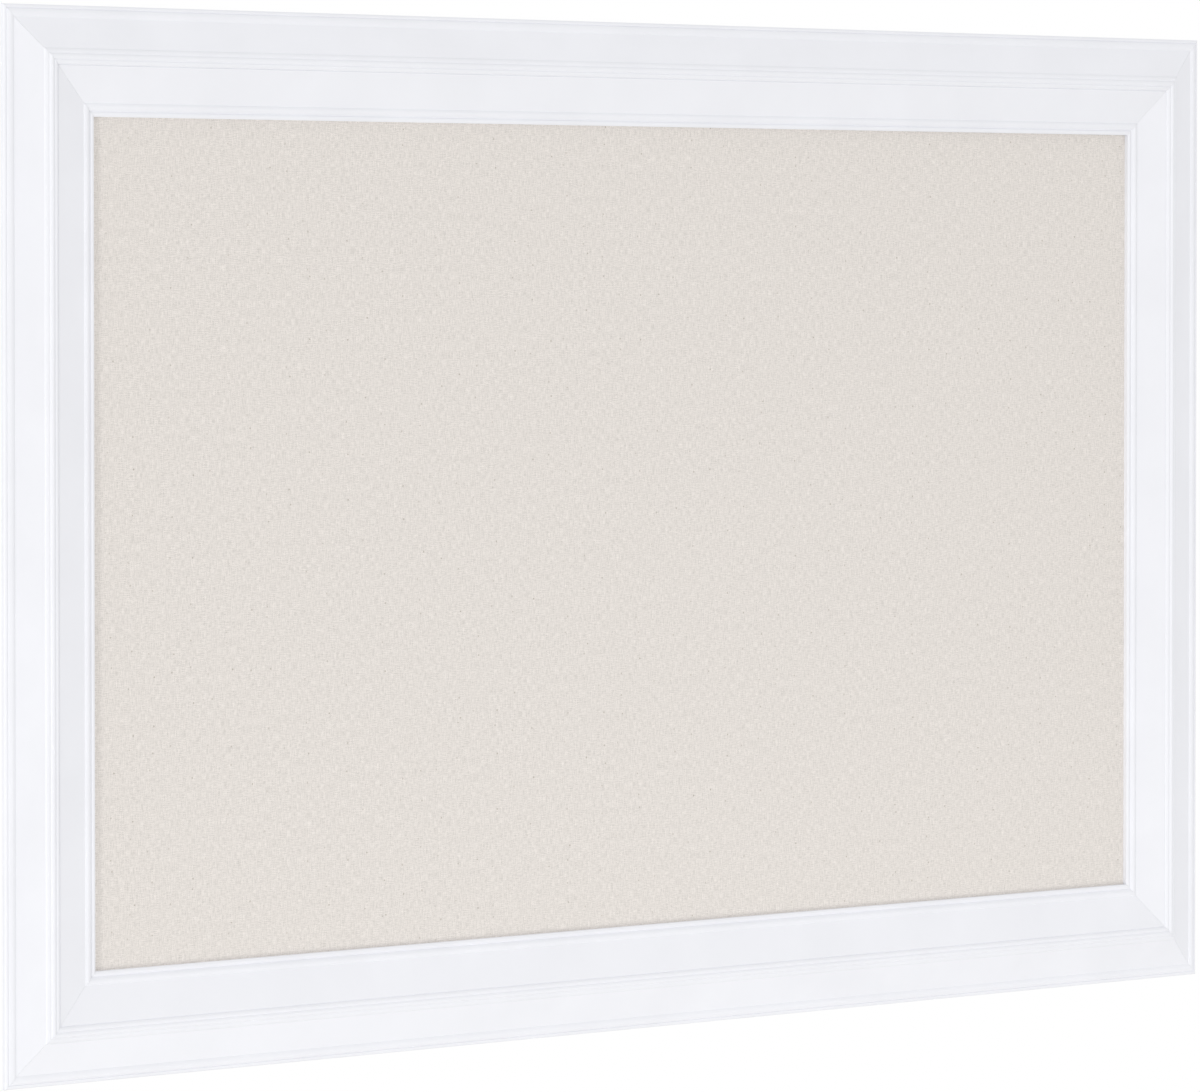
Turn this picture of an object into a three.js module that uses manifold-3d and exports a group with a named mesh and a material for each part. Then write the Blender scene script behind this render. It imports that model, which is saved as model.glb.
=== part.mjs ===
// A framed pin board: four mitred moulding rails round a linen-covered pinning core,
// with its backing board, corner nails, framer's points, strap hangers and wall bumpers.
// Millimetres. X runs right along the board, Z runs up, and the front faces -Y.
// The origin is the middle of the board, on the plane of the wall that it hangs on.

import * as THREE from "three";
import { mergeVertices } from "three/addons/utils/BufferGeometryUtils.js";
import Module from "manifold-3d";

const wasm = await Module();
wasm.setup();

// Board, outside to outside
const boardWidth = 1143;
const boardHeight = 743;

// Rail section. Widths run inward from the outer edge, and heights up from the flat back.
const railFace = 76.2;
const rimHeight = 16.8;
const rimRound = 1.8;
const rimFlatWidth = 0.6;
const quirkWidth = 0.6;
const quirkDepth = 0.5;
const shallowQuirkDepth = 0.3;
const rimBeadWidth = 5.8;
const rimBeadRise = 0.95;
const outerFaceWidth = 20.8;
const outerFaceRise = 5.6;
const stepRun = 0.5;
const outerStepRise = 0.6;
const ledgeWidth = 3.1;
const ledgeClimb = 0.8;
const ledgeRise = 0.45;
const crestStepRise = 0.6;
const crestWidth = 3.4;
const crestFall = 0.2;
const crestRise = 0.75;
const innerBeadWidth = 3.1;
const innerBeadFall = 1.2;
const innerBeadRise = 0.6;
const lipBeadWidth = 5.4;
const lipBeadFall = 0.8;
const lipBeadRise = 1.35;
const lipWidth = 4;
const lipEdgeRise = 0.6;
const lipThickness = 3.4;
const lipRound = 0.6;
const rabbetWidth = 8;
const backRelief = 11;
const backReliefHeight = 13.2;
const mitreGlueLine = 0.2;

// Panel held in the rabbet
const linenThickness = 0.7;
const coreThickness = 6;
const backingThickness = 2.5;
const panelClearance = 1.5;
const turnInWidth = 30;

// Corner nails, V-shaped in plan and driven from the back across each mitre
const nailWing = 5.5;
const nailHeight = 10;
const nailGauge = 0.6;
const nailSink = 0.6;
const nailSpread = THREE.MathUtils.degToRad(60);
const nailPlaceShares = [0.3, 0.72];
const nailFit = 0.2;

// Framer's points, driven flat over the backing into the rabbet wall
const pointWidth = 6;
const pointLength = 15;
const pointTip = 4;
const pointGauge = 0.5;
const pointBite = 5.5;
const pointFit = 0.15;
const pointRecess = 2.2;
const longRailPoints = 5;
const shortRailPoints = 3;

// Strap hangers: a folded steel strap round the bar of a D-ring, with two screws
const strapWidth = 13;
const strapSheet = 0.8;
const strapLength = 31;
const strapEndRound = 4;
const strapTangent = THREE.MathUtils.degToRad(45);
const ringWire = 2.2;
const ringHalfWidth = 10;
const ringReach = 15;
const ringCornerRound = 2.5;
const ringButtGap = 0.4;
const ringFit = 0.25;
const firstScrewPlace = 8.5;
const screwSpacing = 15.5;
const landscapeHangerDrop = 190;
const portraitHangerDrop = 290;

// Pan-head wood screws
const screwHeadDiameter = 7;
const screwHeadHeight = 2.1;
const screwShankDiameter = 3;
const screwLength = 12;
const screwTip = 3;
const screwHoleFit = 0.3;
const screwPilotFit = 0.1;

// Wall bumpers, moulded rubber buttons stuck on near the corners
const bumperDiameter = 12.7;
const bumperHeight = 5;
const bumperTaper = 1.2;
const bumperRound = 0.8;
const bumperInset = 92;

// Sizes that follow from the ones above
const panelDepth = 2 * linenThickness + coreThickness + backingThickness;
const rabbetDepth = panelDepth + pointRecess;
const lipHeight = rabbetDepth + lipThickness;
const rabbetInset = railFace - rabbetWidth;
const backFlatMiddle = (backRelief + rabbetInset) / 2;
const panelWidth = boardWidth - 2 * rabbetInset - 2 * panelClearance;
const panelHeight = boardHeight - 2 * rabbetInset - 2 * panelClearance;
const coreWidth = panelWidth - 2 * linenThickness;
const coreHeight = panelHeight - 2 * linenThickness;
const loopInner = ringWire / 2 + ringFit;
const loopOuter = loopInner + strapSheet;
const screwPlaces = [firstScrewPlace, firstScrewPlace + screwSpacing];
const overrun = 1;

// Facets
const arcSteps = 3;
const roundSides = 16;
const wireSides = 10;
const wireSteps = 36;

function paint(color, roughness, metalness) {
  return new THREE.MeshStandardMaterial({ color, roughness, metalness });
}

const whitePaint = paint(0xf3f4f6, 0.45, 0);
const linenCloth = paint(0xded8cc, 0.95, 0);
const fibreboard = paint(0xb39b78, 0.95, 0);
const hardboard = paint(0x7a5a3c, 0.8, 0);
const zincSteel = paint(0xb9bcc0, 0.35, 1);
const blueSteel = paint(0x6c7078, 0.4, 1);
const clearRubber = paint(0xd9dadb, 0.5, 0);

// Solid geometry helpers
function weld(geometry) {
  const bare = geometry.clone();
  bare.deleteAttribute("normal");
  bare.deleteAttribute("uv");
  return mergeVertices(bare);
}

function toSolid(geometry) {
  const welded = weld(geometry);
  return new wasm.Manifold(
    new wasm.Mesh({
      numProp: 3,
      vertProperties: new Float32Array(welded.attributes.position.array),
      triVerts: new Uint32Array(welded.index.array),
    }),
  );
}

function toGeometry(solid) {
  const mesh = solid.getMesh();
  const geometry = new THREE.BufferGeometry();
  geometry.setAttribute("position", new THREE.BufferAttribute(mesh.vertProperties, 3));
  geometry.setIndex(new THREE.BufferAttribute(mesh.triVerts, 1));
  geometry.computeVertexNormals();
  return geometry;
}

function cutAll(geometry, cutters) {
  let solid = toSolid(geometry);
  for (const cutter of cutters) solid = solid.subtract(toSolid(cutter));
  return toGeometry(solid);
}

function boxBetween(low, high) {
  const size = new THREE.Vector3().subVectors(high, low);
  const middle = new THREE.Vector3().addVectors(low, high).multiplyScalar(0.5);
  return new THREE.BoxGeometry(size.x, size.y, size.z).translate(middle.x, middle.y, middle.z);
}

function part(name, geometry, material) {
  const mesh = new THREE.Mesh(geometry, material);
  mesh.name = name;
  return mesh;
}

function side(angle, x, z) {
  const group = new THREE.Group();
  group.rotation.y = angle;
  group.position.set(x, 0, z);
  return group;
}

// Pockets are cut in the rails for whatever is driven or screwed into them.
const pockets = [];

function pocketFor(mesh, geometry) {
  mesh.updateWorldMatrix(true, false);
  pockets.push(geometry.clone().applyMatrix4(mesh.matrixWorld));
}

// Moulding section, drawn as inset from the outer edge and height above the back

function swell(shape, width, climb, rise) {
  const from = shape.currentPoint.clone();
  const over = new THREE.Vector2(from.x + width / 2, from.y + climb / 2 + 2 * rise);
  shape.quadraticCurveTo(over.x, over.y, from.x + width, from.y + climb);
}

function step(shape, width, climb) {
  const from = shape.currentPoint;
  shape.lineTo(from.x + width, from.y + climb);
}

function quirk(shape, depth) {
  step(shape, quirkWidth / 2, -depth);
  step(shape, quirkWidth / 2, depth);
}

function railSection() {
  const shape = new THREE.Shape();
  shape.moveTo(backRelief, 0);
  shape.lineTo(0, backReliefHeight);
  shape.lineTo(0, rimHeight - rimRound);
  shape.absarc(rimRound, rimHeight - rimRound, rimRound, Math.PI, Math.PI / 2, true);
  step(shape, rimFlatWidth, 0);
  quirk(shape, quirkDepth);
  swell(shape, rimBeadWidth, 0, rimBeadRise);
  step(shape, outerFaceWidth, outerFaceRise);
  step(shape, stepRun, outerStepRise);
  swell(shape, ledgeWidth, ledgeClimb, ledgeRise);
  step(shape, stepRun, crestStepRise);
  swell(shape, crestWidth, -crestFall, crestRise);
  quirk(shape, shallowQuirkDepth);
  swell(shape, innerBeadWidth, -innerBeadFall, innerBeadRise);
  quirk(shape, quirkDepth);
  shape.lineTo(railFace - lipWidth - lipBeadWidth, lipHeight + lipBeadFall);
  swell(shape, lipBeadWidth, -lipBeadFall, lipBeadRise);
  quirk(shape, shallowQuirkDepth);
  swell(shape, lipWidth - quirkWidth - lipRound, 0, lipEdgeRise);
  shape.absarc(railFace - lipRound, lipHeight - lipRound, lipRound, Math.PI / 2, 0, true);
  shape.lineTo(railFace, rabbetDepth);
  shape.lineTo(rabbetInset, rabbetDepth);
  shape.lineTo(rabbetInset, 0);
  shape.closePath();
  return shape;
}

// A rail lies along X with its outer edge at z = 0, its back towards the wall at -bumperHeight.
function railGeometry(length) {
  const blank = new THREE.ExtrudeGeometry(railSection(), {
    depth: 1,
    steps: 1,
    bevelEnabled: false,
    curveSegments: arcSteps,
  });
  const place = blank.attributes.position;
  const setBack = (mitreGlueLine / 2) * Math.SQRT2;
  for (let i = 0; i < place.count; i++) {
    const inset = place.getX(i);
    const height = place.getY(i);
    const reach = length / 2 - inset - setBack;
    place.setXYZ(i, place.getZ(i) > 0 ? -reach : reach, -bumperHeight - height, -inset);
  }
  return blank;
}

const longRail = { length: boardWidth, offset: boardHeight / 2, points: longRailPoints };
const shortRail = { length: boardHeight, offset: boardWidth / 2, points: shortRailPoints };
const rails = [
  { name: "top", angle: 0, ...longRail },
  { name: "right", angle: Math.PI / 2, ...shortRail },
  { name: "bottom", angle: Math.PI, ...longRail },
  { name: "left", angle: -Math.PI / 2, ...shortRail },
];

function railGroup({ angle, offset }) {
  return side(angle, offset * Math.sin(angle), offset * Math.cos(angle));
}

// Linen cover: a sheet over the face and edges of the core, turned in round its back
function linenCover() {
  const front = -bumperHeight - rabbetDepth;
  const back = front + coreThickness + 2 * linenThickness;
  const half = new THREE.Vector2(panelWidth / 2, panelHeight / 2);
  const wrap = boxBetween(
    new THREE.Vector3(-half.x, front, -half.y),
    new THREE.Vector3(half.x, back, half.y),
  );
  const inside = boxBetween(
    new THREE.Vector3(-coreWidth / 2, front + linenThickness, -coreHeight / 2),
    new THREE.Vector3(coreWidth / 2, back - linenThickness, coreHeight / 2),
  );
  const window = boxBetween(
    new THREE.Vector3(turnInWidth - half.x, back - linenThickness - overrun, turnInWidth - half.y),
    new THREE.Vector3(half.x - turnInWidth, back + overrun, half.y - turnInWidth),
  );
  return part("linen_cover", cutAll(wrap, [inside, window]), linenCloth);
}

function pinCore() {
  const front = -bumperHeight - rabbetDepth + linenThickness;
  const core = boxBetween(
    new THREE.Vector3(-coreWidth / 2, front, -coreHeight / 2),
    new THREE.Vector3(coreWidth / 2, front + coreThickness, coreHeight / 2),
  );
  return part("pin_core", core, fibreboard);
}

function backingBoard() {
  const back = -bumperHeight - pointRecess;
  const board = boxBetween(
    new THREE.Vector3(-panelWidth / 2, back - backingThickness, -panelHeight / 2),
    new THREE.Vector3(panelWidth / 2, back, panelHeight / 2),
  );
  return part("backing_board", board, hardboard);
}

// Corner nail: two wings that flare from the mitre line, one in each rail
function nailShape(fit) {
  const half = nailGauge / 2 + fit;
  const reach = nailWing + fit;
  const along = new THREE.Vector2(Math.sin(nailSpread), Math.cos(nailSpread));
  const across = new THREE.Vector2(along.y, -along.x);
  const tip = along.clone().multiplyScalar(reach);
  const rise = half / Math.sin(nailSpread);
  return new THREE.Shape([
    new THREE.Vector2(0, -rise),
    new THREE.Vector2(tip.x + across.x * half, tip.y + across.y * half),
    new THREE.Vector2(tip.x - across.x * half, tip.y - across.y * half),
    new THREE.Vector2(0, rise),
    new THREE.Vector2(-tip.x + across.x * half, tip.y - across.y * half),
    new THREE.Vector2(-tip.x - across.x * half, tip.y + across.y * half),
  ]);
}

function nailGeometry(fit, top) {
  const depth = nailHeight + top + fit;
  const blank = new THREE.ExtrudeGeometry(nailShape(fit), { depth, bevelEnabled: false });
  return blank.rotateX(Math.PI / 2).translate(0, top, 0);
}

function cornerNails(corner, right, up) {
  const angle = Math.atan2(right, up);
  const group = side(angle, (right * boardWidth) / 2, (up * boardHeight) / 2);
  const flat = rabbetInset - backRelief;
  nailPlaceShares.forEach((share, i) => {
    const nail = part(`corner_nail_${corner}_${i + 1}`, nailGeometry(0, 0), blueSteel);
    const inset = backRelief + flat * share;
    nail.position.set(0, -bumperHeight - nailSink, -inset * Math.SQRT2);
    group.add(nail);
    pocketFor(nail, nailGeometry(nailFit, nailSink + overrun));
  });
  return group;
}

// Framer's point: a flat steel tongue whose tip is driven into the rabbet wall
function pointGeometry(fit) {
  const half = pointWidth / 2 + fit;
  const tip = pointBite + fit;
  const outline = new THREE.Shape([
    new THREE.Vector2(-half, pointBite - pointLength),
    new THREE.Vector2(half, pointBite - pointLength),
    new THREE.Vector2(half, tip - pointTip),
    new THREE.Vector2(0, tip),
    new THREE.Vector2(-half, tip - pointTip),
  ]);
  const depth = pointGauge + 2 * fit;
  const blank = new THREE.ExtrudeGeometry(outline, { depth, bevelEnabled: false });
  return blank.rotateX(Math.PI / 2).translate(0, pointGauge + fit, 0);
}

function framersPoints(rail, group) {
  const opening = rail.length - 2 * rabbetInset;
  for (let i = 0; i < rail.points; i++) {
    const point = part(`framers_point_${rail.name}_${i + 1}`, pointGeometry(0), blueSteel);
    const x = opening * ((i + 1 / 2) / rail.points - 1 / 2);
    point.position.set(x, -bumperHeight - pointRecess, -rabbetInset);
    group.add(point);
    pocketFor(point, pointGeometry(pointFit));
  }
}

// Strap hanger, drawn with the strap along +X from the loop and its back on y = 0
function strapGeometry() {
  const shape = new THREE.Shape();
  const topX = loopOuter * Math.sin(Math.PI / 2 - strapTangent);
  const topY = loopOuter + loopOuter * Math.sin(strapTangent);
  const fall = topY - 2 * strapSheet;
  shape.moveTo(strapLength, 0);
  shape.lineTo(strapLength, 2 * strapSheet);
  shape.lineTo(topX + fall * Math.tan(strapTangent), 2 * strapSheet);
  shape.lineTo(topX, topY);
  shape.absarc(0, loopOuter, loopOuter, strapTangent, (3 * Math.PI) / 2, false);
  shape.closePath();
  const bore = new THREE.Path();
  bore.absarc(0, loopOuter, loopInner, 0, 2 * Math.PI, true);
  shape.holes.push(bore);
  const blank = new THREE.ExtrudeGeometry(shape, {
    depth: strapWidth,
    bevelEnabled: false,
    curveSegments: 2 * arcSteps,
  }).translate(0, 0, -strapWidth / 2);
  const planHalf = strapWidth / 2;
  const plan = new THREE.Shape();
  plan.moveTo(-loopOuter - overrun, -planHalf);
  plan.lineTo(strapLength - strapEndRound, -planHalf);
  plan.absarc(strapLength - strapEndRound, strapEndRound - planHalf, strapEndRound, -Math.PI / 2, 0, false);
  plan.absarc(strapLength - strapEndRound, planHalf - strapEndRound, strapEndRound, 0, Math.PI / 2, false);
  plan.lineTo(-loopOuter - overrun, planHalf);
  plan.closePath();
  const outline = new THREE.ExtrudeGeometry(plan, {
    depth: 2 * loopOuter + 2 * overrun,
    bevelEnabled: false,
    curveSegments: arcSteps,
  });
  outline.rotateX(Math.PI / 2).translate(0, 2 * loopOuter + overrun, 0);
  let solid = toSolid(blank).intersect(toSolid(outline));
  for (const place of screwPlaces) {
    const radius = screwShankDiameter / 2 + screwHoleFit;
    const hole = new THREE.CylinderGeometry(radius, radius, 2 * strapSheet + 2 * overrun, roundSides);
    solid = solid.subtract(toSolid(hole.translate(place, strapSheet, 0)));
  }
  return toGeometry(solid);
}

// D-ring: round wire bent from a butt joint at the middle of its bar, lying towards -X
function ringGeometry() {
  const straight = ringReach - ringHalfWidth;
  const corner = ringCornerRound;
  const path = new THREE.Path();
  path.moveTo(0, ringButtGap / 2);
  path.lineTo(0, ringHalfWidth - corner);
  path.absarc(-corner, ringHalfWidth - corner, corner, 0, Math.PI / 2, false);
  path.lineTo(-straight, ringHalfWidth);
  path.absarc(-straight, 0, ringHalfWidth, Math.PI / 2, (3 * Math.PI) / 2, false);
  path.lineTo(-corner, -ringHalfWidth);
  path.absarc(-corner, corner - ringHalfWidth, corner, -Math.PI / 2, 0, false);
  path.lineTo(0, -ringButtGap / 2);
  const route = path.getSpacedPoints(wireSteps).map((p) => new THREE.Vector3(p.x, 0, p.y));
  const section = new THREE.Shape();
  section.absarc(0, 0, ringWire / 2, 0, 2 * Math.PI, false);
  return new THREE.ExtrudeGeometry(section, {
    steps: wireSteps,
    curveSegments: wireSides / 2,
    extrudePath: new THREE.CatmullRomCurve3(route),
  });
}

function screwGeometry(fit) {
  const head = screwHeadDiameter / 2;
  const shank = screwShankDiameter / 2 + fit;
  const length = screwLength + fit;
  const crown = screwHeadHeight / 2;
  const profile = [
    new THREE.Vector2(0, -length),
    new THREE.Vector2(shank, screwTip - length),
    new THREE.Vector2(shank, 0),
  ];
  if (!fit) {
    profile.push(new THREE.Vector2(head, 0));
    profile.push(new THREE.Vector2(head, crown));
    profile.push(new THREE.Vector2(head - crown, screwHeadHeight));
  }
  profile.push(new THREE.Vector2(0, fit ? 0 : screwHeadHeight));
  return new THREE.LatheGeometry(profile, roundSides);
}

// The landscape pair stands on the side rails, and the portrait pair on the long rails.
const sideX = boardWidth / 2 - backFlatMiddle;
const sideZ = boardHeight / 2 - landscapeHangerDrop;
const endX = portraitHangerDrop - boardWidth / 2;
const endZ = boardHeight / 2 - backFlatMiddle;
const hangers = [
  { name: "left", x: -sideX, z: sideZ, angle: Math.PI / 2 },
  { name: "right", x: sideX, z: sideZ, angle: Math.PI / 2 },
  { name: "top", x: endX, z: endZ, angle: 0 },
  { name: "bottom", x: endX, z: -endZ, angle: 0 },
];

function hanger({ name, x, z, angle }) {
  const group = side(angle, x, z);
  group.position.y = -bumperHeight;
  group.add(part(`hanger_strap_${name}`, strapGeometry(), zincSteel));
  const ring = part(`d_ring_${name}`, ringGeometry(), zincSteel);
  ring.position.y = loopOuter;
  group.add(ring);
  screwPlaces.forEach((place, i) => {
    const screw = part(`hanger_screw_${name}_${i + 1}`, screwGeometry(0), zincSteel);
    screw.position.set(place, 2 * strapSheet, 0);
    group.add(screw);
    pocketFor(screw, screwGeometry(screwPilotFit));
  });
  return group;
}

// Wall bumper: a button that narrows to a flat pad on the plane of the wall
function bumperGeometry() {
  const foot = bumperDiameter / 2;
  const pad = foot - bumperTaper;
  return new THREE.LatheGeometry(
    [
      new THREE.Vector2(0, -bumperHeight),
      new THREE.Vector2(foot, -bumperHeight),
      new THREE.Vector2(pad, -bumperRound),
      new THREE.Vector2(pad - bumperRound, 0),
      new THREE.Vector2(0, 0),
    ],
    roundSides,
  );
}

function bumper(corner, right, up) {
  const button = part(`wall_bumper_${corner}`, bumperGeometry(), clearRubber);
  button.position.set(right * (boardWidth / 2 - bumperInset), 0, up * endZ);
  return button;
}

// The board, put together in the order it is made
const board = new THREE.Group();
board.add(linenCover(), pinCore(), backingBoard());

const corners = [
  { name: "top_right", right: 1, up: 1 },
  { name: "bottom_right", right: 1, up: -1 },
  { name: "bottom_left", right: -1, up: -1 },
  { name: "top_left", right: -1, up: 1 },
];
for (const { name, right, up } of corners) {
  board.add(cornerNails(name, right, up));
  board.add(bumper(name, right, up));
}

const groups = rails.map(railGroup);
rails.forEach((rail, i) => framersPoints(rail, groups[i]));
for (const place of hangers) board.add(hanger(place));

// Every pocket is known by now, so the rails are made last.
rails.forEach((rail, i) => {
  const group = groups[i];
  group.updateWorldMatrix(true, false);
  const toRail = group.matrixWorld.clone().invert();
  const cutters = pockets.map((pocket) => pocket.clone().applyMatrix4(toRail));
  group.add(part(`rail_${rail.name}`, cutAll(railGeometry(rail.length), cutters), whitePaint));
  board.add(group);
});

export default board;
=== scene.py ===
import math

import bmesh
import bpy
from mathutils import Matrix, Vector


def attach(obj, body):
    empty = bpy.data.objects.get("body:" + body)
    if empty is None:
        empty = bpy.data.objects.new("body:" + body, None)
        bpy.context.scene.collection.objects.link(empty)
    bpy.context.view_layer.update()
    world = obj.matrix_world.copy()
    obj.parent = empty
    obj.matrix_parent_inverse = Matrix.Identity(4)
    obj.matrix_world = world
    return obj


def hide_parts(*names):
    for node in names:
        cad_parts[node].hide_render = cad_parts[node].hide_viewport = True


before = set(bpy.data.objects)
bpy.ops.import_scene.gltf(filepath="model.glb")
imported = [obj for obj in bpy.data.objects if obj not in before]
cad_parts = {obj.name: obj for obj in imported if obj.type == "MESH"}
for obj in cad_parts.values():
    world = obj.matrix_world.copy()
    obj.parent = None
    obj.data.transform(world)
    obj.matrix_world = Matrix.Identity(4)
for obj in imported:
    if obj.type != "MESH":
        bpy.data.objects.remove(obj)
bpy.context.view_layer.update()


# Camera. It stands well to the left of the board and a little above its middle, nearly level and
# far away with a long lens, so that the four rails keep nearly parallel edges.
camera = bpy.data.objects.new("camera", bpy.data.cameras.new("camera"))
bpy.context.scene.collection.objects.link(camera)
bpy.context.scene.camera = camera
camera.location = (-3.0652, -3.6803, 0.1925)
camera.rotation_euler = (math.radians(90 - 1.419), 0, math.radians(-39.548))
camera.data.sensor_width = 36
camera.data.lens = 193.9
camera.data.shift_y = -0.1
camera.data.clip_end = 100


# Moulding rails. Four lengths of one stepped softwood moulding, mitred at 45 degrees, glued and
# nailed from the back. The front and sides are primed and sprayed satin white, and the back and
# the rabbet are left bare.
mm = 0.001
board_width = 1143 * mm
board_height = 743 * mm
rail_face = 76.2 * mm
rail_back = -5 * mm
rabbet_width = 8 * mm
rabbet_depth = 12.1 * mm
back_relief = 11 * mm
back_relief_height = 13.2 * mm
rim_height = 16.8 * mm
rim_round = 1.8 * mm
quirk_width = 0.6 * mm
quirk_depth = 0.5 * mm
shallow_quirk_depth = 0.3 * mm
lip_width = 4 * mm
lip_height = rabbet_depth + 3.4 * mm
lip_rise = 0.6 * mm
lip_round = 0.6 * mm
lip_bead = 5.4 * mm
lip_bead_drop = 0.8 * mm
lip_bead_rise = 1.35 * mm
arris_round = 0.14 * mm
mitre_gap = 0.1 * mm

# Where the white paint stops on the back, where the moulded face begins, and a length smaller
# than any real detail.
paint_edge = back_relief + 0.5 * mm
face_starts = rail_back - rabbet_depth - 0.1 * mm
hair = 0.01 * mm

# The other members of the section, from the rim to the lip's bead: how far each runs inwards,
# how far it climbs and, where it is rounded, how far it swells.
rim_flat = (0.6 * mm, 0)
outer_bead = (5.8 * mm, 0, 0.95 * mm)
long_slope = (20.8 * mm, 5.6 * mm)
crest_step = (0.5 * mm, 0.6 * mm)
outer_crest_bead = (3.1 * mm, 0.8 * mm, 0.45 * mm)
crest_bead = (3.4 * mm, -0.2 * mm, 0.75 * mm)
inner_crest_bead = (3.1 * mm, -1.2 * mm, 0.6 * mm)


def srgb(code):
    """The linear colour, as a shader takes it, of a hex colour such as "#ff8000"."""
    parts = [int(code[i : i + 2], 16) / 255 for i in (1, 3, 5)]
    return [*(c / 12.92 if c <= 0.04045 else ((c + 0.055) / 1.055) ** 2.4 for c in parts), 1]


def add_node(tree, kind, feeds=None, **settings):
    """Adds a node with its settings. Feeds gives each socket a value or what is linked to it."""
    made = tree.nodes.new("ShaderNode" + kind)
    for name, value in settings.items():
        setattr(made, name, value)
    for socket, value in (feeds or {}).items():
        if isinstance(value, bpy.types.Node):
            value = next(o for o in value.outputs if o.enabled)
        if isinstance(value, bpy.types.NodeSocket):
            tree.links.new(value, made.inputs[socket])
        else:
            made.inputs[socket].default_value = value
    return made


def new_material(name, **values):
    """A material with its principled shader, which takes the plain values given here."""
    material = bpy.data.materials.new(name)
    material.use_nodes = True
    tree = material.node_tree
    shader = tree.nodes["Principled BSDF"]
    for socket, value in values.items():
        shader.inputs[socket.replace("_", " ")].default_value = value
    return material, tree, shader


# Sprayed satin lacquer: a cool, even white with a soft sheen, a fine orange-peel ripple, and a
# few fibres of the wood that telegraph through along the rail.
satin_paint, tree, shader = new_material("Satin_white_lacquer", IOR=1.5)
run = add_node(tree, "TexCoord").outputs["UV"]
cloudiness = add_node(tree, "TexNoise", {"Vector": run, "Scale": 1 / (70 * mm), "Detail": 3})
clouds = add_node(tree, "MapRange", {"Value": cloudiness, "From Min": 0.35, "From Max": 0.65})
white = add_node(
    tree, "Mix", {0: clouds, 6: srgb("#f0f1f6"), 7: srgb("#f3f4f9")}, data_type="RGBA"
)
ripple = add_node(tree, "TexNoise", {"Vector": run, "Scale": 1 / (2.4 * mm), "Detail": 2})
along = add_node(tree, "Mapping", {"Vector": run, "Scale": (0.05, 1, 1)})
raised_grain = add_node(tree, "TexNoise", {"Vector": along, "Scale": 1 / (1.6 * mm), "Detail": 3})
relief = add_node(tree, "Math", {0: raised_grain, 1: 0.6, 2: ripple}, operation="MULTIPLY_ADD")
skin = add_node(tree, "Bump", {"Height": relief, "Strength": 0.3, "Distance": 0.02 * mm})
sheen_spread = add_node(tree, "MapRange", {"Value": clouds, "To Min": 0.36, "To Max": 0.44})
tree.links.new(white.outputs[2], shader.inputs["Base Color"])
tree.links.new(sheen_spread.outputs[0], shader.inputs["Roughness"])
tree.links.new(skin.outputs[0], shader.inputs["Normal"])

# Bare pine, planed and left raw: pale yellow-brown with darker growth lines along the rail.
bare_pine, tree, shader = new_material("Bare_planed_pine", Roughness=0.75, IOR=1.5)
run = add_node(tree, "TexCoord").outputs["UV"]
along = add_node(tree, "Mapping", {"Vector": run, "Scale": (0.06, 1, 1)})
growth = add_node(
    tree, "TexNoise", {"Vector": along, "Scale": 1 / (3 * mm), "Detail": 4, "Distortion": 0.6}
)
fibres = add_node(tree, "TexNoise", {"Vector": along, "Scale": 1 / (0.5 * mm), "Detail": 2})
grain = add_node(tree, "Math", {0: growth, 1: 0.75}, operation="MULTIPLY")
grain = add_node(tree, "Math", {0: fibres, 1: 0.25, 2: grain}, operation="MULTIPLY_ADD")
paleness = add_node(tree, "MapRange", {"Value": grain, "From Min": 0.35, "From Max": 0.6})
pine = add_node(
    tree, "Mix", {0: paleness, 6: srgb("#b98f5f"), 7: srgb("#dfc198")}, data_type="RGBA"
)
tooth = add_node(tree, "Bump", {"Height": grain, "Strength": 0.4, "Distance": 0.1 * mm})
tree.links.new(pine.outputs[2], shader.inputs["Base Color"])
tree.links.new(tooth.outputs[0], shader.inputs["Normal"])


def slope(outline, run, climb):
    """Adds one straight stretch to a moulding's outline, from its last point."""
    inset, height = outline[-1]
    outline.append((inset + run, height + climb))


def swelling(outline, run, climb, rise):
    """Adds a low rounded bead to a moulding's outline, from its last point."""
    inset, height = outline[-1]
    for i in range(1, 11):
        t = i / 10
        outline.append((inset + run * t, height + climb * t + 4 * rise * t * (1 - t)))


def quirk(outline, depth):
    """Adds a narrow V-shaped groove to a moulding's outline."""
    slope(outline, quirk_width / 2, -depth)
    slope(outline, quirk_width / 2, depth)


def moulding_outline():
    """The moulding's section in metres: inset from the outer edge, and height over the back."""
    outline = [(back_relief, 0), (0, back_relief_height)]
    for i in range(9):
        turn = math.radians(90 * i / 8)
        outline.append(
            (
                rim_round * (1 - math.cos(turn)),
                rim_height - rim_round * (1 - math.sin(turn)),
            )
        )
    slope(outline, *rim_flat)
    quirk(outline, quirk_depth)
    swelling(outline, *outer_bead)
    slope(outline, *long_slope)
    slope(outline, *crest_step)
    swelling(outline, *outer_crest_bead)
    slope(outline, *crest_step)
    swelling(outline, *crest_bead)
    quirk(outline, shallow_quirk_depth)
    swelling(outline, *inner_crest_bead)
    quirk(outline, quirk_depth)
    outline.append((rail_face - lip_width - lip_bead, lip_height + lip_bead_drop))
    swelling(outline, lip_bead, -lip_bead_drop, lip_bead_rise)
    quirk(outline, shallow_quirk_depth)
    swelling(outline, lip_width - quirk_width - lip_round, 0, lip_rise)
    for i in range(1, 5):
        turn = math.radians(90 * i / 4)
        outline.append(
            (
                rail_face - lip_round * (1 - math.sin(turn)),
                lip_height - lip_round * (1 - math.cos(turn)),
            )
        )
    outline.append((rail_face, rabbet_depth))
    outline.append((rail_face - rabbet_width, rabbet_depth))
    outline.append((rail_face - rabbet_width, 0))
    return outline


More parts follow.
